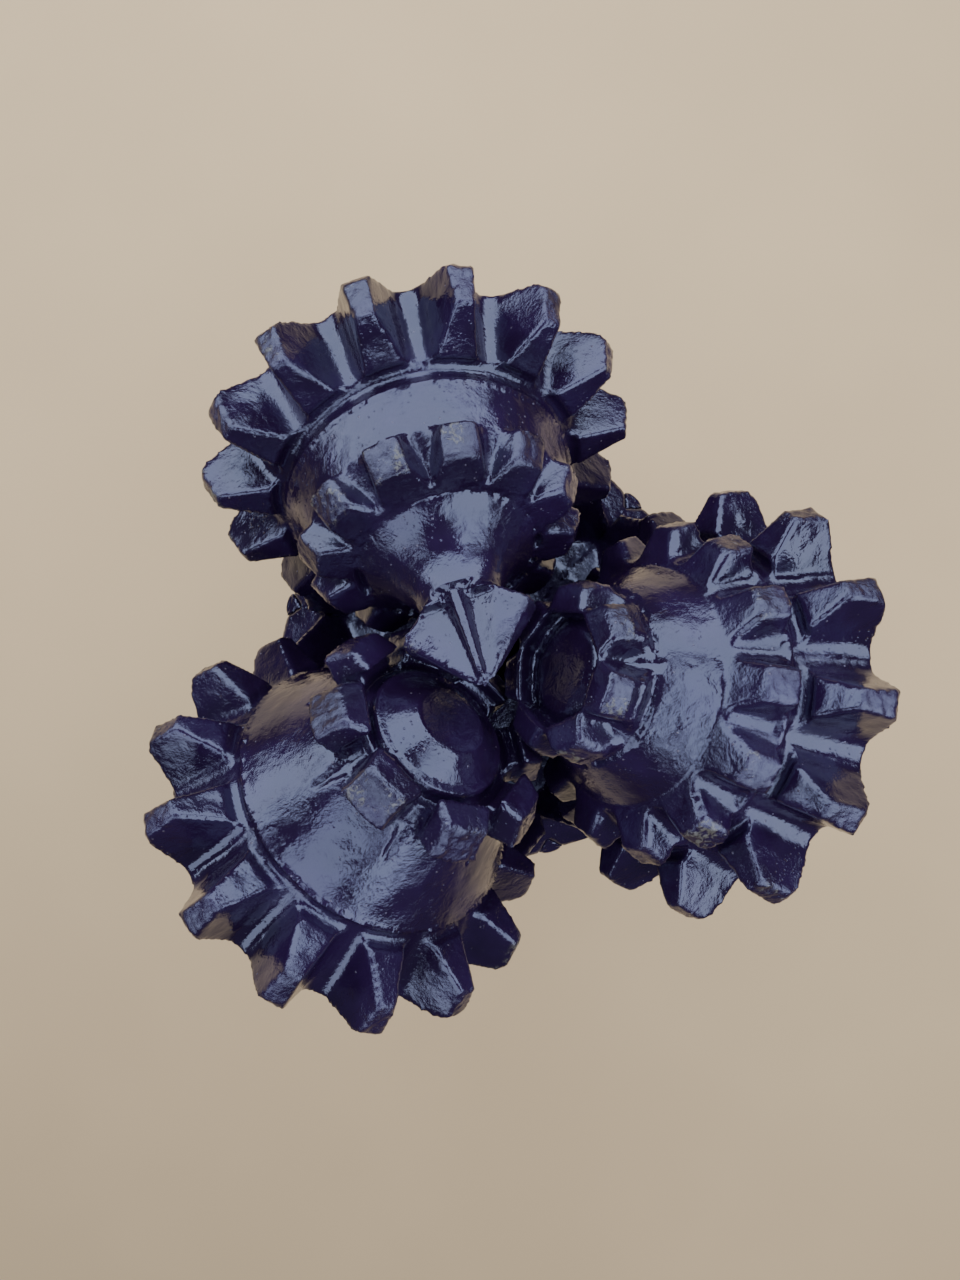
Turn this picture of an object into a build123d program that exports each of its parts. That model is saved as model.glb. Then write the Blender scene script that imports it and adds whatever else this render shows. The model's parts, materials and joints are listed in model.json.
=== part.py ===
from build123d import *
from math import atan2, cos, degrees, pi, radians, sin, sqrt, tan
import os

# Three-cone rotary drill bit with steel teeth, for soft ground, standing on its threaded pin.
# Three forged legs meet in 120 degree thirds and are welded into one body. Each leg carries a
# journal that points inward and up, and a toothed cone turns on each journal. The cones differ,
# so that the rows of each run in the grooves of the other two.
# Millimetres. +Z points from the pin to the cutting end. The origin is the centre of the
# make-up shoulder.

# ---- Cutting geometry ----
gauge_diameter = 152.4          # hole that the bit cuts
journal_slope = 35.0            # degrees from the horizontal down to each journal axis
cone_offset = 2.0               # sideways shift of each cone axis from the bit axis
crossing_height = 125.0         # height at which the cone axes pass the bit axis
leg_azimuths = (90.0, 210.0, 330.0)
leg_sector = 120.0

# ---- Pin, bore and body ----
pin_length = 95.25
pin_large_diameter = 88.9       # thread cone at the shoulder
pin_taper = 0.25                # on diameter
pin_base_diameter = 87.3
pin_base_length = 12.7
pin_end_chamfer = 3.0
bore_diameter = 38.1
chamber_diameter = 48.0         # wider part of the waterway, inside the body
chamber_start = -3.0
throat_diameter = 18.0
throat_length = 14.0
shoulder_diameter = 105.6
shoulder_bevel = 4.0
body_radius = 64.5
body_top = 48.0
crown_radius = 30.0             # level top of the body; outside it the crown falls away
crown_slope = 32.0              # degrees
flat_distance = 61.0            # from the bit axis to the flats between the legs

# ---- Legs ----
flare_start = 12.0              # height where the body begins to widen into the legs
flare_end = 58.0
shirttail_relief = 1.7          # legs stand this far inside the gauge
shirttail_radius = 38.5         # round end of each leg, about the journal axis
leg_root_reach = 95.0           # how far the leg outline runs down from the journal axis
leg_root_half_width = 47.0

# ---- Weld between the legs ----
weld_depth = 4.0
weld_half_width = 3.5
weld_crown = 1.0

# ---- Heel row, alike on the three cones apart from its count ----
heel_corner_radius = 47.2       # where the heel row meets the gauge
heel_crest_radius = 48.3
heel_corner_break = 2.0
heel_crest_length = 7.3
heel_crest_drop = 2.7
heel_face_run = 2.0
heel_foot_radius = 33.3
heel_crest_width = 4.2
heel_floor_radius = 31.2        # where the valley floor starts, and how far from the gauge corner
heel_floor_run = 13.15
heel_floor_slope = 0.42
heel_tooth_height = 11.4
heel_valley_sink = 4.0
back_face_run = 6.1             # from the gauge corner to the cone's back face
back_face_radius = 37.4

# ---- Bearings, from the cone's back face inward ----
back_gap = 0.6                  # between leg face and cone
seal_depth = 4.6
seal_outer_radius = 24.0
seal_boss_radius = 19.6
journal_radius = 17.95
journal_end = 45.4              # stations along the cone axis from the crossing point
running_clearance = 0.05
bushing_wall = 3.4
ball_diameter = 12.7
ball_track_radius = 16.0
ball_count = 7
ball_clearance = 0.15
ball_station = 36.8
race_flange_radius = 16.9
race_wall = 1.6
end_play = 0.4                  # room between the journal's flanges and the cone
journal_root = 6.0              # how far the journal runs into the leg
pilot_radius = 8.4
pilot_bushing_wall = 2.2
pilot_end = 25.2
thrust_gap = 0.3
thrust_disc_radius = 7.6
thrust_disc_thickness = 1.8
journal_fillet = 1.2

# ---- Ball hole and plug ----
ball_hole_clearance = 0.25
ball_hole_lift = 4.0            # how far the hole starts inside the ball track
ball_hole_rise = 0.31           # climb of the hole toward the journal axis

# ---- Grease reservoir, square to the flared outer face of each leg ----
reservoir_height = 30.0
reservoir_radius = 10.5
reservoir_depth = 30.0
ring_recess = 3.0               # snap ring below the leg's face
cap_radius = 12.4
cap_thickness = 3.2
cap_clearance = 0.1
cap_vent_radius = 1.5
ring_thickness = 1.5
ring_inner_radius = 11.0
ring_outer_radius = 13.4
ring_gap_angle = 50.0
diaphragm_wall = 1.2
diaphragm_depth = 14.0
diaphragm_clearance = 0.2
grease_hole_radius = 1.75
grease_hole_start = 24.0        # depth in the reservoir
grease_hole_meets = 42.0        # along the ball hole, from its start

# ---- Small fits ----
seal_lip = 0.4                  # room beside the seal ring in its gland
seal_corner = 0.8
weld_end_gap = 0.5
cutter_reach = 2.0              # cutters run past the surface that they cut
cutter_rise = 8.0               # and stand this far above the height that sets their width

# ---- Derived places ----
slope = radians(journal_slope)
gauge_reach = sqrt((gauge_diameter / 2) ** 2 - cone_offset**2)
heel_corner_station = (gauge_reach - heel_corner_radius * sin(slope)) / cos(slope)
heel_crest_station = heel_corner_station - heel_corner_break
back_face = heel_corner_station + back_face_run
leg_face = back_face + back_gap
shirttail_reach = gauge_diameter / 2 - shirttail_relief
leg_depth = 2 * shirttail_reach     # long enough to pass through a leg
seal_floor = back_face - seal_depth
ball_radius = ball_diameter / 2
pilot_shoulder = ball_station - ball_radius - race_wall
disc_top = pilot_end - thrust_gap
disc_floor = disc_top - thrust_disc_thickness
bushing_bore = journal_radius + running_clearance
bushing_outer = bushing_bore + bushing_wall
pilot_bore = pilot_radius + running_clearance
pilot_bushing_outer = pilot_bore + pilot_bushing_wall
race_bore = race_flange_radius + end_play
seal_bore = seal_boss_radius + running_clearance

os.makedirs("parts", exist_ok=True)


def journal_frame(azimuth):
    """Frame of a cone: local Z runs out along the journal toward the leg, local X up."""
    turn = radians(azimuth)
    outward = Vector(cos(turn), sin(turn), 0)
    side = Vector(-sin(turn), cos(turn), 0)
    axis = outward * cos(slope) - Vector(0, 0, 1) * sin(slope)
    up = outward * sin(slope) + Vector(0, 0, 1) * cos(slope)
    return Plane(Vector(0, 0, crossing_height) + side * cone_offset, x_dir=up, z_dir=axis)


def keep(piece, name):
    """Label a finished piece and write it under that name."""
    piece.part.label = name
    export_step(piece.part, f"parts/{name}.step")


def section_of(frame):
    """Plane through the frame's axis, with local X as the radius and local Y as the station."""
    return Plane(frame.origin, x_dir=frame.x_dir, z_dir=frame.y_dir * -1)


def axis_of(frame):
    return Axis(frame.origin, frame.z_dir)


def ring_section(inner, outer, start, end):
    """Outline of a ring's section, as (radius, station) points."""
    return [(inner, start), (outer, start), (outer, end), (inner, end)]


def spin(frame, outline, how=Mode.ADD):
    """Revolve a closed outline of (radius, station) points about the frame's axis."""
    with BuildSketch(section_of(frame)) as half:
        with BuildLine():
            Polyline(*outline, close=True)
        make_face()
    revolve(half.sketch, axis=axis_of(frame), mode=how)


def spin_ball_track(frame, track):
    """Cut the round groove that the balls run in."""
    with BuildSketch(section_of(frame)) as groove:
        with Locations((ball_track_radius, track)):
            Circle(ball_radius + ball_clearance)
    revolve(groove.sketch, axis=axis_of(frame), mode=Mode.SUBTRACT)


def valley(start, end, height, half_width, sink):
    """Cutter for the gap between two teeth, about a cone's own Z axis. Its rounded floor runs from
    start to end, two (radius, station) points, and it is half_width wide each way at height."""
    across = Plane((start[0], 0, start[1]), x_dir=(0, -1, 0), z_dir=(end[0] - start[0], 0, end[1] - start[1]))
    run = sqrt((end[0] - start[0]) ** 2 + (end[1] - start[1]) ** 2)
    flank = atan2(half_width, height + sink)
    top = height + cutter_rise
    reach = (top + sink) * tan(flank)
    with BuildPart() as cutter:
        with BuildSketch(across) as outline:
            with BuildLine():
                Polyline((0, -sink), (reach, top), (-reach, top), close=True)
            make_face()
            fillet(outline.vertices().sort_by(Axis.Y)[0], sink / (1 / sin(flank) - 1))
        extrude(amount=run)
    return cutter.part


# ---- Outline shared by the cones: foot of the heel row out to the back face and the bore ----
heel_inner_station = heel_crest_station - heel_crest_length
heel_outline = [
    (heel_foot_radius, heel_inner_station - heel_face_run),
    (heel_crest_radius - heel_crest_drop, heel_inner_station),
    (heel_crest_radius, heel_crest_station),
    (heel_corner_radius, heel_corner_station),
    (back_face_radius, back_face),
]
bore_outline = [
    (seal_outer_radius, back_face),
    (seal_outer_radius, seal_floor),
    (bushing_outer, seal_floor),
    (bushing_outer, journal_end),
    (race_bore, journal_end),
    (race_bore, pilot_shoulder),
    (pilot_bushing_outer, pilot_shoulder),
    (pilot_bushing_outer, disc_top),
    (thrust_disc_radius, disc_top),
    (thrust_disc_radius, disc_floor),
    (0, disc_floor),
]

# ---- What differs from cone to cone, nose first, as (radius, station) points. The part next to the
# heel row keeps its distance from that row. ----
spear_outline = [
    (0, -4.4), (1.0, -4.4), (14.0, 10.0), (8.0, 14.5), (10.0, 17.0), (15.6, 24.2), (18.6, 28.4), (27.4, 28.8),
    (30.9, 35.2), (27.8, 36.8), (31.4, heel_inner_station - 3.4),
]
blunt_outline = [
    (0, 16.9), (7.7, 16.9), (15.6, 22.4), (16.4, 23.0), (17.2, 22.6), (24.2, 18.4), (27.7, 25.2), (21.4, 27.6),
    (32.6, heel_inner_station - 4.0),
]
disc_outline = [
    (0, 18.3), (7.3, 18.3), (7.6, 18.7), (7.9, 18.3), (8.4, 18.3), (13.2, 21.2), (17.2, 15.8), (18.9, 20.0),
    (17.4, 23.6), (18.8, 26.4), (25.8, heel_inner_station - 14.2), (34.6, heel_inner_station - 12.8),
    (37.6, heel_inner_station - 6.6), (33.0, heel_inner_station - 5.2), (33.1, heel_inner_station - 3.0),
]


def heel_row(count):
    """Cutter for the gaps of a heel row with this many teeth."""
    start = (heel_floor_radius, heel_corner_station - heel_floor_run)
    run = back_face + cutter_reach - start[1]
    end = (heel_floor_radius + run * heel_floor_slope, start[1] + run)
    half_width = pi * heel_corner_radius / count - heel_crest_width / 2
    return valley(start, end, heel_tooth_height, half_width, heel_valley_sink)


# The spear of cone_1: two blades, thinned by four face cuts, with a low rib between two flutes on
# each side.
blade_angle = -97.4
face_cut_turn = 52.4
flute_turn = 34.0
blade_face = valley((1.0, -5.0), (10.6, 15.0), 8.0, 12.0, 0.6)
rib_top = valley((0.3, -5.0), (8.0, 15.0), 8.0, 40.0, 0.2)
flute = valley((0.3, -4.6), (5.0, 14.0), 6.0, 5.5, 1.0)

mid_row = heel_inner_station - 13.6     # middle row of cone_3, ahead of its heel row

# Each cone: outline, heel teeth, rows of gaps and the angle of a heel tooth. A row of gaps is a
# cutter, how many, and the angle of one of the teeth between them.
cones = {
    "cone_1": (spear_outline, 15, [
        (valley((18.9, 26.6), (28.6, 38.2), 4.4, 5.3, 2.4), 12, -42.0),
        (blade_face, 2, blade_angle - face_cut_turn),
        (blade_face, 2, blade_angle + face_cut_turn),
        (rib_top, 2, blade_angle),
        (flute, 2, blade_angle - flute_turn),
        (flute, 2, blade_angle + flute_turn),
    ], -97.9),
    "cone_2": (blunt_outline, 14, [
        (valley((16.6, 22.2), (25.2, 35.1), 8.3, 6.0, 2.4), 8, 2.5),
    ], 115.0),
    "cone_3": (disc_outline, 13, [
        (valley((26.4, mid_row - 1.4), (33.3, mid_row + 11.2), 6.0, 6.2, 2.2), 13, -11.0),
        (valley((11.8, 19.5), (18.6, 27.6), 5.8, 5.4, 1.8), 7, 8.0),
    ], -92.8),
}

for (name, (outline, heel_count, inner_rows, heel_angle)), azimuth in zip(cones.items(), leg_azimuths):
    frame = journal_frame(azimuth)
    heel_valley = heel_row(heel_count)
    with BuildPart(frame) as cone:
        spin(frame, outline + heel_outline + bore_outline)
        spin_ball_track(frame, ball_station)
        with PolarLocations(0, heel_count, start_angle=heel_angle + 180 / heel_count):
            add(heel_valley, mode=Mode.SUBTRACT)
        for cutter, count, angle in inner_rows:
            with PolarLocations(0, count, start_angle=angle + 180 / count):
                add(cutter, mode=Mode.SUBTRACT)
    keep(cone, name)

# ---- Section of the leg third, as (radius, height) points: pin, shoulder and lower body ----
pin_end_radius = (pin_large_diameter - pin_taper * pin_length) / 2
pin_base_thread = (pin_large_diameter - pin_taper * pin_base_length) / 2
bore_radius = bore_diameter / 2
chamber_radius = chamber_diameter / 2
throat_radius = throat_diameter / 2
throat_start = body_top - throat_length
crown_fall = tan(radians(crown_slope))
lower_section = [
    (bore_radius, -pin_length),
    (pin_end_radius - pin_end_chamfer, -pin_length),
    (pin_end_radius, pin_end_chamfer - pin_length),
    (pin_base_thread, -pin_base_length),
    (pin_base_diameter / 2, -pin_base_length),
    (pin_base_diameter / 2, 0),
    (shoulder_diameter / 2, 0),
    (shoulder_diameter / 2 + shoulder_bevel, shoulder_bevel),
    (body_radius, flare_start),
    (body_radius, body_top - (body_radius - crown_radius) * crown_fall),
    (crown_radius, body_top),
    (throat_radius, body_top),
    (throat_radius, throat_start),
    (chamber_radius, throat_start - (chamber_radius - throat_radius)),
    (chamber_radius, chamber_start),
    (bore_radius, chamber_start),
]
arm_section = [
    (chamber_radius, flare_start),
    (body_radius, flare_start),
    (shirttail_reach, flare_end),
    (shirttail_reach, crossing_height),
    (chamber_radius, crossing_height),
]


def third(azimuth, section, how=Mode.ADD):
    """Revolve a section through the leg's third of the circle."""
    turn = radians(azimuth - leg_sector / 2)
    edge = Plane((0, 0, 0), x_dir=(cos(turn), sin(turn), 0), z_dir=(sin(turn), -cos(turn), 0))
    with BuildSketch(edge) as wedge:
        with BuildLine():
            Polyline(*section, close=True)
        make_face()
    revolve(wedge.sketch, axis=Axis.Z, revolution_arc=leg_sector, mode=how)


flare_lean = atan2(shirttail_reach - body_radius, flare_end - flare_start)
reservoir_face = body_radius + (reservoir_height - flare_start) * tan(flare_lean)


def reservoir_plane(azimuth, depth):
    """Plane across the reservoir's axis, at a depth below the leg's flared face."""
    turn = radians(azimuth)
    outward = Vector(cos(turn), sin(turn), 0)
    up = Vector(0, 0, 1)
    axis = outward * cos(flare_lean) - up * sin(flare_lean)
    origin = outward * reservoir_face + up * reservoir_height - axis * depth
    return Plane(origin, x_dir=outward * sin(flare_lean) + up * cos(flare_lean), z_dir=axis)


def disc(plane, radius, depth, how=Mode.ADD):
    with BuildSketch(plane) as round_face:
        Circle(radius)
    extrude(round_face.sketch, amount=depth, mode=how)


journal_outline = [
    (0, pilot_end),
    (pilot_radius - journal_fillet, pilot_end),
    (pilot_radius, pilot_end + journal_fillet),
    (pilot_radius, pilot_shoulder + end_play),
    (race_flange_radius, pilot_shoulder + end_play),
    (race_flange_radius, journal_end + end_play),
    (journal_radius, journal_end + end_play),
    (journal_radius, seal_floor),
    (seal_boss_radius, seal_floor + end_play),
    (seal_boss_radius, leg_face + journal_root),
    (0, leg_face + journal_root),
]
flat_top = body_top - (flat_distance - crown_radius) * crown_fall
weld_reach = 1.0
weld_reach_half = weld_half_width * (weld_depth + weld_reach) / weld_depth
ring_seat = ring_recess + ring_thickness
cap_seat = ring_seat + cap_thickness
diaphragm_seat = cap_seat + diaphragm_wall
diaphragm_end = diaphragm_seat + diaphragm_depth
hole_radius = ball_radius + ball_hole_clearance
gap_reach = 2 * ring_outer_radius
gap_half = radians(ring_gap_angle / 2)
ring_gap_corners = [
    (-gap_reach * cos(gap_half), -gap_reach * sin(gap_half)), (-gap_reach * cos(gap_half), gap_reach * sin(gap_half)),
]

for number, azimuth in enumerate(leg_azimuths, start=1):
    frame = journal_frame(azimuth)
    section = section_of(frame)
    hole_start = section.from_local_coords(Vector(ball_hole_lift - ball_track_radius, ball_station, 0))
    hole_way = frame.z_dir + frame.x_dir * ball_hole_rise
    hole_plane = Plane(hole_start, x_dir=frame.y_dir, z_dir=hole_way)
    grease_start = reservoir_plane(azimuth, grease_hole_start).origin
    grease_way = hole_start + hole_way.normalized() * grease_hole_meets - grease_start
    grease_plane = Plane(grease_start, z_dir=grease_way)

    with BuildPart() as arm:
        with BuildSketch(frame.offset(leg_face)):
            Circle(shirttail_radius)
            with BuildLine():
                Polyline(
                    (0, shirttail_radius), (-leg_root_reach, leg_root_half_width),
                    (-leg_root_reach, -leg_root_half_width), (0, -shirttail_radius), close=True,
                )
            make_face()
        extrude(amount=leg_depth)
        third(azimuth, arm_section, Mode.INTERSECT)

    with BuildPart() as leg:
        third(azimuth, lower_section)
        with BuildSketch(Plane.XY.offset(shoulder_bevel)):
            with PolarLocations(flat_distance + body_radius / 2, 2, azimuth - leg_sector / 2, leg_sector, endpoint=True):
                Rectangle(body_radius, 2 * body_radius)
        extrude(amount=body_top, mode=Mode.SUBTRACT)
        with BuildSketch(Plane.XY.offset(shoulder_bevel)):
            with PolarLocations(flat_distance, 2, azimuth - leg_sector / 2, leg_sector, endpoint=True):
                Polygon(
                    (weld_reach, -weld_reach_half), (weld_reach, weld_reach_half), (-weld_depth, 0), align=None
                )
        extrude(amount=body_top, mode=Mode.SUBTRACT)
        add(arm.part)
        spin(frame, journal_outline)
        spin_ball_track(frame, ball_station)
        disc(hole_plane, hole_radius, leg_depth, Mode.SUBTRACT)
        disc(reservoir_plane(azimuth, reservoir_depth), reservoir_radius, leg_depth, Mode.SUBTRACT)
        disc(reservoir_plane(azimuth, diaphragm_seat), cap_radius + cap_clearance, leg_depth, Mode.SUBTRACT)
        disc(reservoir_plane(azimuth, ring_seat), ring_outer_radius + cap_clearance,
             ring_thickness + cap_clearance, Mode.SUBTRACT)
        disc(grease_plane, grease_hole_radius, grease_way.length, Mode.SUBTRACT)
    keep(leg, f"leg_{number}")

    with BuildPart() as plug_trim:
        third(azimuth, lower_section)
        add(arm.part)
        spin(frame, [(0, pilot_end), (journal_radius, pilot_end), (journal_radius, leg_face + journal_root), (0, leg_face + journal_root)])
        spin_ball_track(frame, ball_station)
    with BuildPart() as ball_plug:
        disc(hole_plane, hole_radius, leg_depth)
        add(plug_trim.part, mode=Mode.INTERSECT)
    keep(ball_plug, f"ball_plug_{number}")

    with BuildPart() as journal_bushing:
        spin(frame, ring_section(bushing_bore, bushing_outer, journal_end, seal_floor))
    keep(journal_bushing, f"journal_bushing_{number}")

    with BuildPart() as pilot_bushing:
        spin(frame, ring_section(pilot_bore, pilot_bushing_outer, disc_top, pilot_shoulder))
    keep(pilot_bushing, f"pilot_bushing_{number}")

    with BuildPart() as thrust_disc:
        spin(frame, ring_section(0, thrust_disc_radius, disc_floor, disc_top))
    keep(thrust_disc, f"thrust_disc_{number}")

    with BuildPart() as seal_ring:
        spin(frame, ring_section(seal_bore, seal_outer_radius, seal_floor + seal_lip, back_face - seal_lip))
        chamfer(seal_ring.edges(), seal_corner)
    keep(seal_ring, f"seal_ring_{number}")

    with BuildPart(frame.offset(ball_station)) as ball_set:
        with PolarLocations(ball_track_radius, ball_count, start_angle=180 / ball_count):
            Sphere(ball_radius)
    keep(ball_set, f"ball_set_{number}")

    with BuildPart() as diaphragm:
        disc(reservoir_plane(azimuth, diaphragm_end), reservoir_radius - diaphragm_clearance, diaphragm_depth)
        disc(reservoir_plane(azimuth, diaphragm_seat), cap_radius, diaphragm_wall)
        disc(reservoir_plane(azimuth, diaphragm_end - diaphragm_wall),
             reservoir_radius - diaphragm_clearance - diaphragm_wall, leg_depth, Mode.SUBTRACT)
    keep(diaphragm, f"diaphragm_{number}")

    with BuildPart() as reservoir_cap:
        disc(reservoir_plane(azimuth, cap_seat), cap_radius, cap_thickness)
        disc(reservoir_plane(azimuth, cap_seat), cap_vent_radius, leg_depth, Mode.SUBTRACT)
    keep(reservoir_cap, f"reservoir_cap_{number}")

    with BuildPart() as snap_ring:
        with BuildSketch(reservoir_plane(azimuth, ring_seat)):
            Circle(ring_outer_radius)
            Circle(ring_inner_radius, mode=Mode.SUBTRACT)
            with BuildLine():
                Polyline((0, 0), *ring_gap_corners, close=True)
            make_face(mode=Mode.SUBTRACT)
        extrude(amount=ring_thickness)
    keep(snap_ring, f"snap_ring_{number}")

    seam_turn = radians(azimuth + leg_sector / 2)
    seam_out = Vector(cos(seam_turn), sin(seam_turn), 0)
    seam_foot = Plane((0, 0, shoulder_bevel + weld_end_gap), x_dir=seam_out, z_dir=(0, 0, 1))
    seam_end = Plane(
        seam_out * flat_distance + Vector(0, 0, flat_top - weld_end_gap), x_dir=seam_out.cross(Vector(0, 0, 1)),
        z_dir=seam_out * crown_fall + Vector(0, 0, 1),
    )
    with BuildPart() as weld_seam:
        with BuildSketch(seam_foot):
            with BuildLine():
                Line((flat_distance, -weld_half_width), (flat_distance - weld_depth, 0))
                Line((flat_distance - weld_depth, 0), (flat_distance, weld_half_width))
                ThreePointArc(
                    (flat_distance, weld_half_width), (flat_distance + weld_crown, 0), (flat_distance, -weld_half_width)
                )
            make_face()
        extrude(amount=body_top)
        split(bisect_by=seam_end, keep=Keep.BOTTOM)
    keep(weld_seam, f"weld_seam_{number}")
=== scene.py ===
import json
from math import atan2, ceil, copysign, cos, pi, radians, sin

import bpy
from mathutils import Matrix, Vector, noise


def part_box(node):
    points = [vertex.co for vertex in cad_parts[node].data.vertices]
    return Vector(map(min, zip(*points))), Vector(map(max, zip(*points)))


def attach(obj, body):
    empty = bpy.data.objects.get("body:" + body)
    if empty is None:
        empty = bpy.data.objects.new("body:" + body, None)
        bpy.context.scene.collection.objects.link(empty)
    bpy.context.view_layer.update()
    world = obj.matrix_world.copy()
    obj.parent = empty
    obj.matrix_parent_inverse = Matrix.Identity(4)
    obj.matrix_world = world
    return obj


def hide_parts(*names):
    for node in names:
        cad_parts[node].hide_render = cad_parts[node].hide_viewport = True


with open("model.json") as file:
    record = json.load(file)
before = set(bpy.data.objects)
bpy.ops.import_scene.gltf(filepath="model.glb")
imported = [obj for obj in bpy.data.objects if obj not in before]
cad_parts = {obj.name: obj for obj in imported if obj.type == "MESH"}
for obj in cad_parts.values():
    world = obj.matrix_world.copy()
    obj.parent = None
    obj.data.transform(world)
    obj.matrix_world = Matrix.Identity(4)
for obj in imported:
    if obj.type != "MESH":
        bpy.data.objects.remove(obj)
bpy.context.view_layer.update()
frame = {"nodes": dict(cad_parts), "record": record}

# Three-cone rotary drill bit, dressed: dipped in thick gloss paint, standing on its pin.
# Metres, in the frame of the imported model.

mm = 0.001

# ---- Shared sizes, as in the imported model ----
crossing_height = 125.0 * mm
cone_offset = 2.0 * mm
journal_slope = radians(35.0)
leg_azimuths = {"1": radians(90.0), "2": radians(210.0), "3": radians(330.0)}
pin_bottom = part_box("leg_1")[0][2]
thread_top = -12.7 * mm
thread_pitch = 5.08 * mm
thread_depth = 2.9 * mm
pin_taper = 0.125
pin_large_radius = 44.45 * mm
bore_radius = 19.05 * mm

# ---- Colours of paint, bare metal and dust, and a painted sky-blue reflection tint ----
paint_body = (0.0105, 0.0040, 0.0210, 1)
paint_pool = (0.0150, 0.0060, 0.0330, 1)
# Sky-blue tint laid on the paint's reflections: a painted sky reflection colour
painted_sky_reflection_tint = (0.60, 0.71, 1.0, 1)
dust = (0.22, 0.20, 0.24, 1)
chip_brown = (0.045, 0.036, 0.028, 1)
chip_olive = (0.080, 0.076, 0.056, 1)
chip_steel = (0.125, 0.122, 0.125, 1)


# ======================================================================================
# Materials
# ======================================================================================
def new_material(name):
    material = bpy.data.materials.new(name)
    material.use_nodes = True
    nodes = material.node_tree.nodes
    nodes.clear()
    out = nodes.new("ShaderNodeOutputMaterial")
    shader = nodes.new("ShaderNodeBsdfPrincipled")
    material.node_tree.links.new(shader.outputs["BSDF"], out.inputs["Surface"])
    return material, shader


def link(material, source, target):
    material.node_tree.links.new(source, target)


def node(material, kind, **settings):
    made = material.node_tree.nodes.new(kind)
    for key, value in settings.items():
        setattr(made, key, value)
    return made


def surface_place(material):
    return node(material, "ShaderNodeTexCoord").outputs["Object"]


def noise_texture(material, place, scale, detail=4.0, roughness=0.55, distortion=0.0):
    made = node(material, "ShaderNodeTexNoise")
    made.inputs["Scale"].default_value = scale
    made.inputs["Detail"].default_value = detail
    made.inputs["Roughness"].default_value = roughness
    made.inputs["Distortion"].default_value = distortion
    link(material, place, made.inputs["Vector"])
    return made.outputs["Fac"]


def remap(material, value, low, high, to_low=0.0, to_high=1.0):
    made = node(material, "ShaderNodeMapRange", interpolation_type="SMOOTHSTEP")
    made.inputs["From Min"].default_value = low
    made.inputs["From Max"].default_value = high
    made.inputs["To Min"].default_value = to_low
    made.inputs["To Max"].default_value = to_high
    link(material, value, made.inputs["Value"])
    return made.outputs["Result"]


def combine(material, kind, first, second):
    made = node(material, "ShaderNodeMath", operation=kind)
    for value, socket in ((first, made.inputs[0]), (second, made.inputs[1])):
        if isinstance(value, (int, float)):
            socket.default_value = value
        else:
            link(material, value, socket)
    return made.outputs[0]


def product(material, first, second):
    return combine(material, "MULTIPLY", first, second)


def total(material, first, second):
    return combine(material, "ADD", first, second)


def blend_colour(material, amount, first, second):
    made = node(material, "ShaderNodeMix", data_type="RGBA")
    link(material, amount, made.inputs["Factor"])
    for value, socket in ((first, made.inputs[6]), (second, made.inputs[7])):
        if isinstance(value, tuple):
            socket.default_value = value
        else:
            link(material, value, socket)
    return made.outputs[2]


def bump(material, height, strength, distance, under=None):
    made = node(material, "ShaderNodeBump")
    made.inputs["Strength"].default_value = strength
    made.inputs["Distance"].default_value = distance
    link(material, height, made.inputs["Height"])
    if under is not None:
        link(material, under, made.inputs["Normal"])
    return made.outputs["Normal"]


def specks(material, place, scale, inner, outer, patches):
    """Round specks that fade out between two radii, and show only in patches."""
    cells = node(material, "ShaderNodeTexVoronoi")
    cells.inputs["Scale"].default_value = scale
    link(material, place, cells.inputs["Vector"])
    return product(material, remap(material, cells.outputs["Distance"], inner, outer, 1.0, 0.0), patches)


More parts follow.
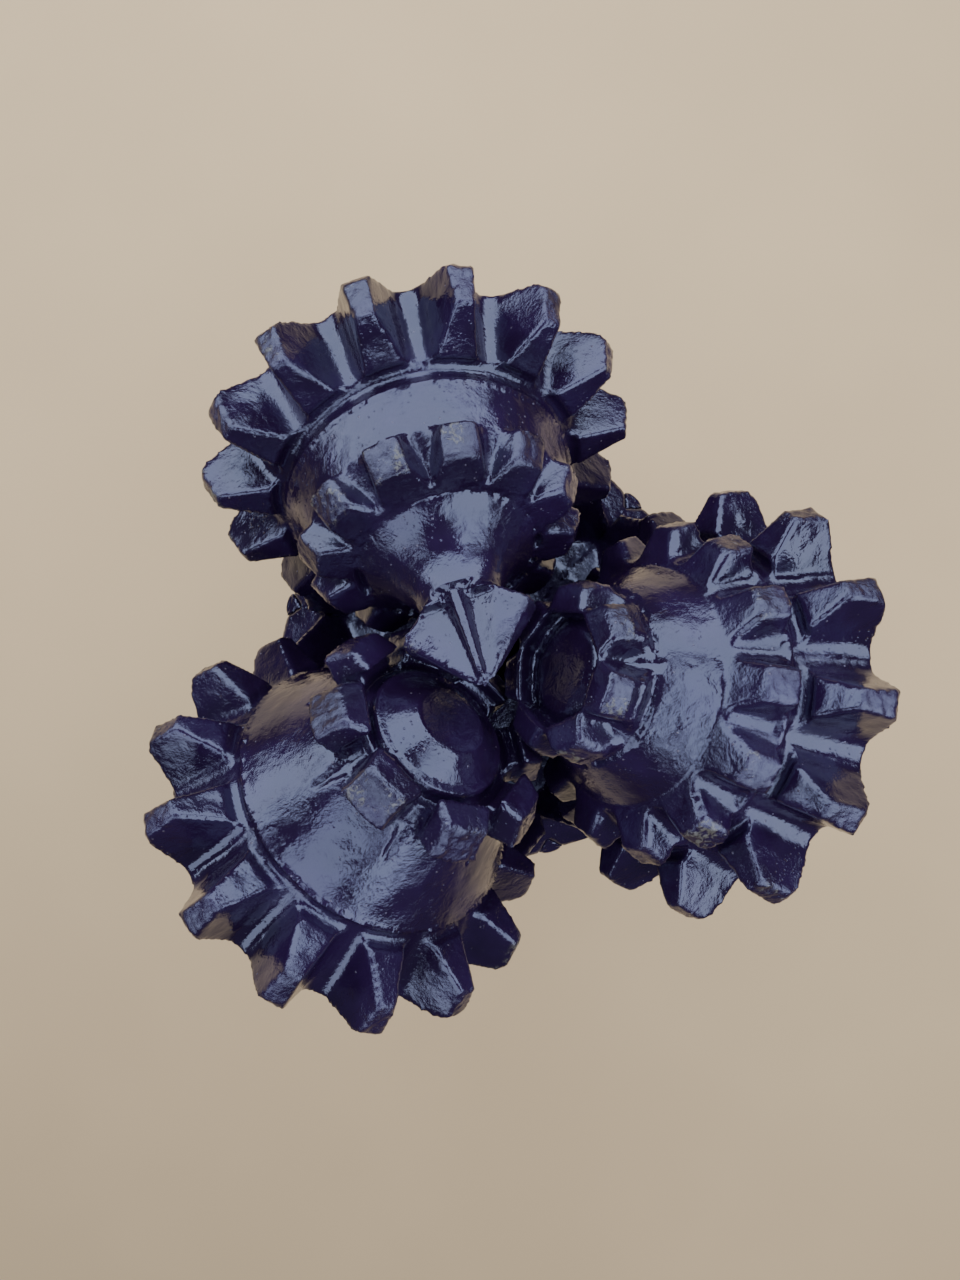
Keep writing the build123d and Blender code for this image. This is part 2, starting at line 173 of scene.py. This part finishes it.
def gloss_paint():
    """Thick dark indigo paint: pooled colour, soft waves, fine peel, dust nibs, worn crests."""
    material, shader = new_material("indigo_gloss_paint")
    place = surface_place(material)
    slow = noise_texture(material, place, 60.0, 3.0)
    peel = noise_texture(material, place, 1500.0, 3.0, 0.6)
    coarse = noise_texture(material, place, 900.0, 6.0, 0.66, 0.4)
    patch = noise_texture(material, place, 130.0, 2.0)
    crest = node(material, "ShaderNodeAttribute", attribute_name="crest").outputs["Fac"]

    dusty = remap(material, noise_texture(material, place, 210.0, 2.0), 0.48, 0.58)
    nibs = specks(material, place, 430.0, 0.05, 0.13, dusty)
    pitted = remap(material, noise_texture(material, place, 95.0, 3.0), 0.50, 0.62)
    pits = specks(material, place, 900.0, 0.08, 0.26, pitted)

    colour = blend_colour(material, remap(material, slow, 0.40, 0.62), paint_body, paint_pool)
    tooth = remap(material, noise_texture(material, place, 42.0, 1.0), 0.50, 0.58)
    worn = total(material, product(material, coarse, 0.7), product(material, patch, 0.5))
    bare = product(material, remap(material, worn, 0.64, 0.72), product(material, crest, tooth))
    metal = blend_colour(material, remap(material, patch, 0.42, 0.60), chip_brown, chip_olive)
    metal = blend_colour(material, remap(material, coarse, 0.56, 0.70), metal, chip_steel)
    colour = blend_colour(material, bare, colour, metal)
    colour = blend_colour(material, product(material, nibs, 0.30), colour, dust)
    link(material, colour, shader.inputs["Base Color"])

    rough = remap(material, noise_texture(material, place, 170.0, 4.0, 0.6), 0.36, 0.66, 0.06, 0.17)
    rough = total(material, rough, product(material, bare, 0.34))
    rough = total(material, rough, product(material, nibs, 0.30))
    link(material, rough, shader.inputs["Roughness"])

    waves = noise_texture(material, place, 75.0, 2.0)
    ripples = noise_texture(material, place, 260.0, 3.0, 0.55, 0.5)
    strokes = noise_texture(material, place, 420.0, 4.0, 0.62, 1.6)
    ragged = remap(material, noise_texture(material, place, 70.0, 2.0), 0.42, 0.62)
    thick = remap(material, slow, 0.38, 0.60, 0.35, 1.0)
    normal = bump(material, waves, 1.0, 0.60 * mm)
    normal = bump(material, ripples, 1.0, 0.18 * mm, normal)
    normal = bump(material, product(material, strokes, ragged), 1.0, 0.16 * mm, normal)
    normal = bump(material, product(material, peel, thick), 1.0, 0.06 * mm, normal)
    normal = bump(material, nibs, 1.0, 0.05 * mm, normal)
    normal = bump(material, pits, 1.0, -0.06 * mm, normal)
    normal = bump(material, product(material, coarse, crest), 1.0, 0.20 * mm, normal)
    link(material, normal, shader.inputs["Normal"])
    shader.inputs["IOR"].default_value = 1.5
    shader.inputs["Specular IOR Level"].default_value = 1.0
    # Reflections tinted sky blue whatever the lamps: a painted sky reflection colour
    shader.inputs["Specular Tint"].default_value = painted_sky_reflection_tint
    return material


def machined_steel(name, colour, rough_low, rough_high, metal, grain_scale):
    """Turned or ground bearing metal, with fine tool lines and handling marks."""
    material, shader = new_material(name)
    place = surface_place(material)
    lines = noise_texture(material, place, grain_scale, 6.0, 0.7)
    blotch = noise_texture(material, place, grain_scale * 0.12, 2.0)
    darker = tuple(channel * 0.62 for channel in colour[:3]) + (1,)
    tone = blend_colour(material, remap(material, blotch, 0.35, 0.65), darker, colour)
    link(material, tone, shader.inputs["Base Color"])
    link(material, remap(material, lines, 0.3, 0.7, rough_low, rough_high), shader.inputs["Roughness"])
    link(material, bump(material, lines, 0.12, 0.3 * mm), shader.inputs["Normal"])
    shader.inputs["Metallic"].default_value = metal
    return material


# ======================================================================================
# Shapes
# ======================================================================================
def deselect():
    for thing in bpy.context.selected_objects:
        thing.select_set(False)


def pick(piece):
    deselect()
    piece.select_set(True)
    bpy.context.view_layer.objects.active = piece


def open_mesh(piece):
    """Opens a piece in edit mode with all of its mesh selected."""
    pick(piece)
    bpy.ops.object.mode_set(mode="EDIT")
    bpy.ops.mesh.select_all(action="SELECT")


def close_mesh():
    bpy.ops.object.mode_set(mode="OBJECT")


def face_outwards(piece):
    open_mesh(piece)
    bpy.ops.mesh.normals_make_consistent(inside=False)
    close_mesh()


def mesh_copy(source_name, name):
    """The CAD node's shape as a new piece, with its loose triangles merged."""
    source = frame["nodes"][source_name]
    piece = bpy.data.objects.new(name, source.data.copy())
    piece.data.name = name
    bpy.context.scene.collection.objects.link(piece)
    piece.matrix_world = source.matrix_world.copy()
    pick(piece)
    bpy.ops.object.transform_apply(location=True, rotation=True, scale=True)
    open_mesh(piece)
    bpy.ops.mesh.remove_doubles(threshold=0.002 * mm)
    close_mesh()
    return piece


def apply(piece, kind, **settings):
    pick(piece)
    made = piece.modifiers.new(kind.title(), kind)
    for key, value in settings.items():
        setattr(made, key, value)
    bpy.ops.object.modifier_apply(modifier=made.name)


def finish_piece(piece, body, material, *nodes, angle=35.0):
    pick(piece)
    bpy.ops.object.shade_smooth_by_angle(angle=radians(angle))
    piece.data.materials.clear()
    piece.data.materials.append(material)
    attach(piece, body)
    if nodes:
        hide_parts(*nodes)
    return piece


def fuse(piece, tool, how):
    """Adds a tool's shape to a piece or cuts it away, and removes the tool."""
    apply(piece, "BOOLEAN", operation=how, object=tool, solver="EXACT")
    bpy.data.objects.remove(tool)


def lay_on(piece, part):
    """Adds an overlapping part to a piece, before both are cast into one skin."""
    pick(part)
    piece.select_set(True)
    bpy.context.view_layer.objects.active = piece
    bpy.ops.object.join()


def cone_axes(number):
    """Crossing point, axis toward the leg, up and side directions of a cone."""
    turn = leg_azimuths[number]
    outward = Vector((cos(turn), sin(turn), 0))
    side = Vector((-sin(turn), cos(turn), 0))
    axis = outward * cos(journal_slope) - Vector((0, 0, 1)) * sin(journal_slope)
    up = outward * sin(journal_slope) + Vector((0, 0, 1)) * cos(journal_slope)
    return Vector((0, 0, crossing_height)) + side * cone_offset, axis, up, side


def from_axis(place, origin, axis):
    """Station of a place along an axis, and the spoke from the axis to it."""
    away = place - origin
    station = away.dot(axis)
    return station, away - axis * station


def smooth_run(points, parts=6):
    """Rounds a run of (radius, station) corners into one even curve through them."""
    ends = [tuple(2 * a - b for a, b in zip(points[0], points[1]))] + list(points)
    ends.append(tuple(2 * a - b for a, b in zip(points[-1], points[-2])))

    def between(p0, p1, p2, p3, t):
        square, cube = 2 * p0 - 5 * p1 + 4 * p2 - p3, 3 * p1 - p0 - 3 * p2 + p3
        return 0.5 * (2 * p1 + (p2 - p0) * t + square * t**2 + cube * t**3)

    curve = []
    for corners in zip(ends, ends[1:], ends[2:], ends[3:]):
        for step in range(parts):
            curve.append(tuple(between(*values, step / parts) for values in zip(*corners)))
    return curve + [points[-1]]


# ---- Cones: all runs are (radius, station) in millimetres, from the crossing point ----
# Turned shells
spear_neck = smooth_run([(8.6, 15.2), (9.4, 18.0), (11.2, 21.4), (14.3, 25.0), (18.4, 28.2)])
cone_shells = {
    "1": [spear_neck, [(27.8, 36.8), (31.0, 45.8)]],
    "2": [[(7.7, 16.9), (14.0, 21.3)], [(21.4, 27.6), (32.2, 45.4)]],
    "3": [[(8.4, 18.3), (13.2, 21.2)], [(18.8, 26.4), (25.8, 36.4)]],
}
# Thin raised beads on the shells, and grooves cut the same way: (radius, station, thickness)
shell_beads = {
    "1": [(30.7, 46.0, 1.9)],
    "2": [(31.9, 45.4, 1.9), (14.4, 21.5, 1.5)],
    "3": [(32.9, 46.6, 1.7)],
}
shell_grooves = {
    "1": [(32.6, 48.4, 3.6), (18.9, 29.0, 2.0)],
    "2": [(33.6, 47.8, 3.6), (16.4, 23.0, 2.8), (21.0, 27.4, 2.2)],
    "3": [(34.4, 48.9, 3.4), (7.7, 18.2, 1.2), (18.2, 25.6, 1.8)],
}
# Hard-faced crests of the inner rows: how many, the angle of one, the crest's front and back, its width
stout_rows = {
    "1": [(12, -42.0, (27.2, 29.0), (30.7, 35.0), 7.4)],
    "2": [(8, 2.5, (24.0, 18.3), (27.5, 25.0), 9.6)],
    "3": [(13, -11.0, (34.4, 38.1), (37.4, 43.8), 7.2), (7, 8.0, (16.9, 15.6), (18.9, 23.6), 8.4)],
}
crest_depth = 6.0
crest_flare = 1.5
crest_round = 0.7
# Hollow between the blades of cone 1's spear: its angle, then the floor and rim at the neck and at the
# point, each as (half width, radius, station)
spear_angle = -7.4
hollow_neck = ((0.0, 4.0, 14.5), (12.0, 13.0, 16.8))
hollow_point = ((0.0, 0.9, -3.6), (1.9, 3.4, -3.8))
# Rib along the hollow: radius and station of each end, and how thick it is there
rib_neck, rib_point = (6.0, 14.5), (1.7, -2.4)
rib_radii = (1.5, 0.7)
# Crest lines of the rows of teeth, and how deep below them the wear reaches
heel_crest = [(45.6, 50.6), (48.3, 57.9), (47.2, 59.9), (37.4, 66.0)]
crest_lines = {
    "1": [heel_crest, [(27.4, 28.8), (30.9, 35.2)], [(11.5, 7.3), (14.0, 10.0), (12.0, 11.5)]],
    "2": [heel_crest, [(24.2, 18.4), (27.7, 25.2)]],
    "3": [heel_crest, [(34.6, 37.8), (37.6, 44.0)], [(17.2, 15.8), (18.9, 20.0)]],
}
crest_band = 1.6
# Ground bore, as how far ahead of the leg's face its back starts, where it ends and how wide it reaches
bore_back, bore_end, bore_reach = 1.6, 22.0, 25.0
shell_wall = 2.0
# Cast skin: height and length of its waves, then of the grain on the crests, and the voxels it is cast in
cone_skin, cone_voxel, cone_quick_voxel = (0.16, 8.0, 0.34, 1.3), 0.72, 1.1
# Second wave of a skin, as shares of the first, and how far the grain of a crest sinks
short_wave, short_push = 0.37, 0.4
grain_sink = 0.15


def radius_on(run, station):
    """Radius of a run at a station, or None beyond its ends."""
    for (r0, s0), (r1, s1) in zip(run, run[1:]):
        if s0 <= station <= s1:
            return r0 + (r1 - r0) * (station - s0) / (s1 - s0)
    return None


def shell_reach(run):
    """How far points are moved: the neck of cone 1 is drawn in, and the straight shells only trued."""
    return 2.3 if run is spear_neck else 0.75


def true_up_shell(points, number):
    """Moves points near a turned shell onto it, so that it shines as one smooth cone."""
    origin, axis = cone_axes(number)[:2]
    for point in points:
        station, spoke = from_axis(point.co, origin, axis)
        radius = spoke.length
        for run in cone_shells[number]:
            shell = radius_on(run, station / mm)
            if shell is not None and abs(radius - shell * mm) < shell_reach(run) * mm:
                point.co = origin + axis * station + spoke * (shell * mm / radius)


def mark_crests(piece, number):
    """Stores how near each point is to the top of its tooth, up to 1 on the crest."""
    origin, axis = cone_axes(number)[:2]
    marks = piece.data.attributes.new("crest", "FLOAT", "POINT")
    for point, mark in zip(piece.data.vertices, marks.data):
        station, spoke = from_axis(point.co, origin, axis)
        value = 0.0
        for run in crest_lines[number]:
            crest = radius_on(run, station / mm)
            if crest is not None:
                value = max(value, min(1.0, (spoke.length / mm - crest + crest_band) / crest_band))
        mark.value = value


def cast_skin(piece, skin, holds):
    """Uneven skin of forged steel under thick paint: long waves, and weld grain near the crests."""
    wave, wave_size, grain, grain_size = (value * mm for value in skin)
    marks = piece.data.attributes["crest"]
    normals = [Vector(v.normal) for v in piece.data.vertices]
    for index, point in enumerate(piece.data.vertices):
        if holds(point.co):
            continue
        push = noise.noise(point.co / wave_size) * wave
        push += noise.noise(point.co / (wave_size * short_wave)) * wave * short_push
        push += (noise.noise(point.co / grain_size) - grain_sink) * grain * marks.data[index].value
        point.co += normals[index] * push


def hoop(number, radius, station, thickness):
    """Round hoop about a cone's axis."""
    origin, axis = cone_axes(number)[:2]
    deselect()
    bpy.ops.mesh.primitive_torus_add(major_radius=radius * mm, minor_radius=thickness / 2 * mm,
                                     major_segments=120, minor_segments=12)
    ring = bpy.context.object
    turn = axis.to_track_quat("Z", "Y").to_matrix()
    for point in ring.data.vertices:
        point.co = origin + axis * station * mm + turn @ point.co
    return ring


def cone_place(number, angle, radius, station, across=0.0):
    """A place on a cone: angle round its axis in degrees, radius and station in millimetres."""
    origin, axis, up, side = cone_axes(number)
    spoke = up * cos(radians(angle)) - side * sin(radians(angle))
    sideways = -up * sin(radians(angle)) - side * cos(radians(angle))
    return origin + (axis * station + spoke * radius + sideways * across) * mm


def stout_tooth(number, angle, front, back, width):
    """Tapered block whose crest runs from front to back, wider at its foot."""
    deselect()
    bpy.ops.mesh.primitive_cube_add(size=2)
    tooth = bpy.context.object
    for point in tooth.data.vertices:
        along, across, high = point.co
        radius, station = front if along < 0 else back
        half = width / 2
        if high < 0:
            half += crest_flare
            radius -= crest_depth
            station += along * crest_flare * 0.4
        point.co = cone_place(number, angle, radius, station, across * half)
    face_outwards(tooth)
    open_mesh(tooth)
    bpy.ops.mesh.bevel(offset=crest_round * mm, segments=2, affect="EDGES")
    close_mesh()
    return tooth


def spear_hollow(angle):
    """Long wedge that hollows the spear between its blades, from the neck to the point."""
    deselect()
    bpy.ops.mesh.primitive_cylinder_add(vertices=3, radius=1, depth=2)
    wedge = bpy.context.object
    for point in wedge.data.vertices:
        bottom, rim = hollow_neck if point.co.z > 0 else hollow_point
        half, radius, station = rim if abs(point.co.x) > 0.1 else bottom
        point.co = cone_place("1", angle, radius, station, copysign(half, point.co.x))
    face_outwards(wedge)
    return wedge


def spear_rib(angle):
    """Low rib along the hollow, from the neck toward the point."""
    start, end = cone_place("1", angle, *rib_neck), cone_place("1", angle, *rib_point)
    deselect()
    bpy.ops.mesh.primitive_cone_add(vertices=20, radius1=rib_radii[0] * mm, radius2=rib_radii[1] * mm,
                                    depth=(end - start).length)
    rib = bpy.context.object
    turn = (end - start).to_track_quat("Z", "Y").to_matrix()
    for point in rib.data.vertices:
        point.co = (start + end) / 2 + turn @ point.co
    return rib


def in_bore(number):
    """Tells whether a place is in the cone's ground bore or on its back face."""
    origin, axis = cone_axes(number)[:2]

    def holds(place):
        station, spoke = from_axis(place, origin, axis)
        if station > (leg_face - bore_back) * mm:
            return True
        near_axis = station > bore_end * mm and spoke.length < bore_reach * mm
        return near_axis and under_shell(number, station / mm, spoke.length / mm)
    return holds


def under_shell(number, station, radius):
    """Tells whether a place lies inside the cone's turned shells by at least their wall."""
    shells = [radius_on(run, station) for run in cone_shells[number]]
    return all(shell is None or radius < shell - shell_wall for shell in shells)


def dressed_cone(number, material):
    piece = mesh_copy(f"cone_{number}", f"painted_cone_{number}")
    for kind, hoops in (("UNION", shell_beads[number]), ("DIFFERENCE", shell_grooves[number])):
        for radius, station, thickness in hoops:
            fuse(piece, hoop(number, radius, station, thickness), kind)
    if number == "1":
        for angle in (spear_angle, spear_angle + 180.0):
            fuse(piece, spear_hollow(angle), "DIFFERENCE")
            fuse(piece, spear_rib(angle), "UNION")
    for count, angle, front, back, width in stout_rows[number]:
        for index in range(count):
            lay_on(piece, stout_tooth(number, angle + index * 360 / count, front, back, width))
    apply(piece, "REMESH", mode="VOXEL", voxel_size=cone_voxel * mm)
    apply(piece, "SMOOTH", factor=0.5, iterations=1)
    true_up_shell(piece.data.vertices, number)
    mark_crests(piece, number)
    cast_skin(piece, cone_skin, in_bore(number))
    return finish_piece(piece, f"turning_cone_{number}", material, f"cone_{number}", angle=60.0)


# ---- Legs, in millimetres ----
leg_half = radians(60.0)
body_radius = 74.5
# Outside of the body and legs, as a (radius, height) run
body_run = [
    (43.65, -12.7), (43.65, -0.01), (52.8, 0.0), (56.8, 4.0), (64.5, 12.0),
    (body_radius, 58.0), (body_radius, 125.0),
]
leg_skin, leg_voxel, leg_quick_voxel = (0.22, 12.0, 0.45, 1.8), 1.0, 1.6
squaring_reach = 0.6
# Station of the face that the cone runs against, and the ground journal ahead of it
leg_face = 66.7
journal_back, journal_reach = 0.6, 27.0
# Hard-faced band along the shirttail: its width, and the radius and lowest place that it starts from
lip_width = 9.0
lip_radius, lip_low = 72.6, -20.0
# Weld bead: reach of its root, its voxels, pitch and height of its ripples, and how much they bow
seam_root, seam_voxel = 60.6, 0.5
ripple_pitch, ripple_height, ripple_bow = 1.9, 0.55, 90.0
# Ring of weld round the ball plug: place, radius, thickness, and the ripples in it
plug_reach, plug_height = 73.95, 77.7
plug_ring, plug_bead = 7.3, 0.95
plug_ripples, plug_swell = 22.0, 0.12


def in_bearing(number):
    """Tells whether a place is on the journal, inside the cone, where the metal is ground."""
    origin, axis = cone_axes(number)[:2]

    def holds(place):
        station, spoke = from_axis(place, origin, axis)
        return station < (leg_face + journal_back) * mm and spoke.length < journal_reach * mm
    return holds


def true_up_leg(piece, number):
    """Squares a leg's welded faces and its turned outside."""
    azimuth = leg_azimuths[number]
    turns = (azimuth + leg_half, azimuth - leg_half)
    edges = [Vector((-sin(turn), cos(turn), 0)) for turn in turns]
    for point in piece.data.vertices:
        spoke = Vector((point.co.x, point.co.y, 0))
        radius = spoke.length
        outside = radius_on(body_run, point.co.z / mm)
        if outside is not None and abs(radius - outside * mm) < squaring_reach * mm:
            point.co += spoke * (outside * mm / radius - 1.0)
        for edge in edges:
            gap = point.co.dot(edge)
            if abs(gap) < squaring_reach * mm:
                point.co -= edge * gap


def mark_lip(piece, number):
    """Stores the hard-faced band along the shirttail's edge, beside the cone."""
    origin, axis, up = cone_axes(number)[:3]
    marks = piece.data.attributes.new("crest", "FLOAT", "POINT")
    for point, mark in zip(piece.data.vertices, marks.data):
        away = point.co - origin
        outward = Vector((point.co.x, point.co.y, 0)).length / mm
        along = (leg_face + lip_width - away.dot(axis) / mm) / lip_width
        on_lip = outward > lip_radius and away.dot(up) > lip_low * mm
        mark.value = max(0.0, min(1.0, along * 1.6)) if on_lip else 0.0


def dressed_leg(number, material):
    piece = mesh_copy(f"leg_{number}", f"painted_leg_{number}")
    open_mesh(piece)
    bpy.ops.mesh.bisect(plane_co=(0, 0, thread_top), plane_no=(0, 0, 1), use_fill=True, clear_inner=True)
    close_mesh()
    apply(piece, "REMESH", mode="VOXEL", voxel_size=leg_voxel * mm)
    apply(piece, "SMOOTH", factor=0.5, iterations=1)
    mark_lip(piece, number)
    cast_skin(piece, leg_skin, in_bearing(number))
    true_up_leg(piece, number)
    return finish_piece(piece, "bit_body", material, f"leg_{number}", angle=40.0)


def dressed_seam(number, material):
    """Weld bead, with the overlapping ripples of the pool."""
    piece = mesh_copy(f"weld_seam_{number}", f"rippled_weld_{number}")
    apply(piece, "REMESH", mode="VOXEL", voxel_size=seam_voxel * mm)
    apply(piece, "SMOOTH", factor=0.5, iterations=2)
    azimuth = leg_azimuths[number] + leg_half
    outward = Vector((cos(azimuth), sin(azimuth), 0))
    across = Vector((-sin(azimuth), cos(azimuth), 0))
    for point in piece.data.vertices:
        reach = point.co.dot(outward) - seam_root * mm
        if reach > 0:
            aside = point.co.dot(across)
            phase = (point.co.z + ripple_bow * aside * aside) / (ripple_pitch * mm)
            fade = min(1.0, reach / (0.5 * mm))
            point.co += outward * (abs(sin(phase * pi)) - 0.8) * ripple_height * mm * fade
    return finish_piece(piece, "bit_body", material, f"weld_seam_{number}", angle=60.0)


def plug_weld(number, material):
    """Ring of weld round the ball plug's end."""
    azimuth = leg_azimuths[number]
    outward = Vector((cos(azimuth), sin(azimuth), 0))
    side = Vector((-sin(azimuth), cos(azimuth), 0))
    centre = outward * plug_reach * mm + side * cone_offset + Vector((0, 0, plug_height * mm))
    deselect()
    bpy.ops.mesh.primitive_torus_add(major_radius=plug_ring * mm, minor_radius=plug_bead * mm,
                                     major_segments=96, minor_segments=12)
    piece = bpy.context.object
    piece.name = piece.data.name = f"plug_weld_{number}"
    turn = outward.to_track_quat("Z", "Y").to_matrix()
    for point in piece.data.vertices:
        around = atan2(point.co.y, point.co.x)
        swell = 1.0 + plug_swell * sin(around * plug_ripples)
        place = turn @ Vector((point.co.x, point.co.y, point.co.z * swell))
        drop = (place.dot(side) ** 2) / (2 * body_radius * mm)
        point.co = centre + place - outward * drop
    return finish_piece(piece, "bit_body", material, angle=60.0)


def threaded_pin(material):
    """Tapered thread: one tooth of the profile, swept up the pin, cut square and bored."""
    turns = ceil((thread_top - pin_bottom) / thread_pitch) + 3
    start = pin_bottom - thread_pitch
    deselect()
    bpy.ops.mesh.primitive_plane_add(size=2 * mm, location=(0, 0, 0))
    piece = bpy.context.object
    piece.name = piece.data.name = "threaded_pin"
    root = pin_large_radius - thread_depth
    profile = [(root, 0.0), (root, 0.16), (pin_large_radius, 0.45), (pin_large_radius, 0.71), (root, 1.0)]
    places = [(radius, 0.0, start + share * thread_pitch) for radius, share in profile]
    piece.data.clear_geometry()
    piece.data.from_pydata(places, [(i, i + 1) for i in range(len(places) - 1)], [])
    apply(piece, "SCREW", angle=2 * pi, screw_offset=thread_pitch, iterations=turns, steps=72,
          render_steps=72, use_merge_vertices=True, merge_threshold=0.01 * mm)
    for point in piece.data.vertices:
        spoke = Vector((point.co.x, point.co.y, 0))
        point.co += spoke.normalized() * (point.co.z * pin_taper)
    open_mesh(piece)
    for height, keep_up in ((pin_bottom, True), (thread_top - 0.05 * mm, False)):
        bpy.ops.mesh.select_all(action="SELECT")
        bpy.ops.mesh.bisect(plane_co=(0, 0, height), plane_no=(0, 0, 1), use_fill=True, clear_inner=keep_up,
                            clear_outer=not keep_up)
    bpy.ops.mesh.select_all(action="SELECT")
    bpy.ops.mesh.normals_make_consistent(inside=False)
    close_mesh()
    deselect()
    bpy.ops.mesh.primitive_cylinder_add(vertices=96, radius=bore_radius, depth=200 * mm,
                                        location=(0, 0, pin_bottom + 50 * mm))
    fuse(piece, bpy.context.object, "DIFFERENCE")
    return finish_piece(piece, "bit_body", material, angle=35.0)


def build():
    paint = gloss_paint()
    steel = machined_steel("ground_steel", (0.56, 0.56, 0.57, 1), 0.18, 0.34, 1.0, 900.0)
    bronze = machined_steel("bearing_bronze", (0.62, 0.42, 0.18, 1), 0.26, 0.42, 1.0, 800.0)
    rubber = machined_steel("seal_rubber", (0.018, 0.018, 0.018, 1), 0.45, 0.65, 0.0, 600.0)
    finishes = {"gloss_paint": paint, "bright_steel": steel, "bearing_bronze": bronze, "seal_rubber": rubber}
    slots = {entry["node"]: entry["material_slot"] for entry in frame["record"]["subparts"]}
    for name, thing in frame["nodes"].items():
        finish = finishes[slots[name]]
        if not thing.material_slots:
            thing.data.materials.append(finish)
        for slot in thing.material_slots:
            slot.material = finish
    for number in leg_azimuths:
        dressed_cone(number, paint)
        dressed_leg(number, paint)
        dressed_seam(number, paint)
        plug_weld(number, paint)
    threaded_pin(paint)


# ======================================================================================
# Stage
# ======================================================================================
floor_size = 6.0
floor_light, floor_dark = (0.63, 0.475, 0.27, 1), (0.585, 0.44, 0.25, 1)
lamp_height = 0.33
lamp_colour = (0.90, 0.92, 1.0)
# Lamps: corner, turn in degrees, width, depth and glow
softboxes = {
    "back_softbox": ((-0.60, 0.085), 0.0, 1.20, 0.56, 3.4),
    "right_softbox": ((0.105, 0.075), -116.6, 0.42, 0.48, 3.4),
    "left_softbox": ((-0.115, 0.02), -156.5, 0.38, 0.20, 2.7),
}
fill_colour, fill_glow = (0.62, 0.60, 0.90, 1), 0.13
wall_colour, wall_glow = (0.80, 0.76, 0.70, 1), 0.75
# Camera, straight above the cones: place in millimetres, turn in degrees
camera_place = (2.233, 6.797, 304.98)
camera_turn = (-0.79, 0.718, -16.786)
film_width = 36.0
lens_length = 26.47


def stage_floor():
    deselect()
    bpy.ops.mesh.primitive_plane_add(size=floor_size, location=(0, 0, pin_bottom))
    floor_sheet = bpy.context.object
    floor_sheet.name = "floor"
    material, shader = new_material("pale_floor")
    place = surface_place(material)
    tone = remap(material, noise_texture(material, place, 6.0, 3.0), 0.3, 0.7)
    link(material, blend_colour(material, tone, floor_dark, floor_light), shader.inputs["Base Color"])
    shader.inputs["Roughness"].default_value = 0.85
    floor_sheet.data.materials.append(material)


def softbox(name, corner, turn, width, depth, glow):
    """Level lamp over the bit, from one corner: width runs along the turn and depth to its left."""
    lamp = bpy.data.lights.new(name, "AREA")
    lamp.shape = "RECTANGLE"
    lamp.size = width
    lamp.size_y = depth
    lamp.energy = glow * pi * width * depth
    lamp.color = lamp_colour
    thing = bpy.data.objects.new(name, lamp)
    bpy.context.scene.collection.objects.link(thing)
    along = Vector((cos(turn), sin(turn), 0))
    left = Vector((-sin(turn), cos(turn), 0))
    thing.location = Vector((*corner, lamp_height)) + along * width / 2 + left * depth / 2
    thing.rotation_euler = (0, 0, turn)
    thing.visible_camera = False


def stage_lights():
    world = bpy.data.worlds.new("studio")
    bpy.context.scene.world = world
    world.use_nodes = True
    nodes, links = world.node_tree.nodes, world.node_tree.links
    fill = nodes["Background"]
    fill.inputs["Color"].default_value = fill_colour
    fill.inputs["Strength"].default_value = fill_glow
    wall = nodes.new("ShaderNodeBackground")
    wall.inputs["Color"].default_value = wall_colour
    wall.inputs["Strength"].default_value = wall_glow
    seen = nodes.new("ShaderNodeLightPath")
    mix = nodes.new("ShaderNodeMixShader")
    links.new(seen.outputs["Is Camera Ray"], mix.inputs["Fac"])
    links.new(fill.outputs["Background"], mix.inputs[1])
    links.new(wall.outputs["Background"], mix.inputs[2])
    links.new(mix.outputs["Shader"], nodes["World Output"].inputs["Surface"])
    for name, (corner, turn, width, depth, glow) in softboxes.items():
        softbox(name, corner, radians(turn), width, depth, glow)


def stage_camera():
    lens = bpy.data.cameras.new("camera")
    lens.sensor_width = film_width
    lens.lens = lens_length
    lens.clip_start = 0.01
    thing = bpy.data.objects.new("camera", lens)
    bpy.context.scene.collection.objects.link(thing)
    thing.location = [value * mm for value in camera_place]
    thing.rotation_euler = [radians(value) for value in camera_turn]
    bpy.context.scene.camera = thing


build()
stage_floor()
stage_lights()
stage_camera()
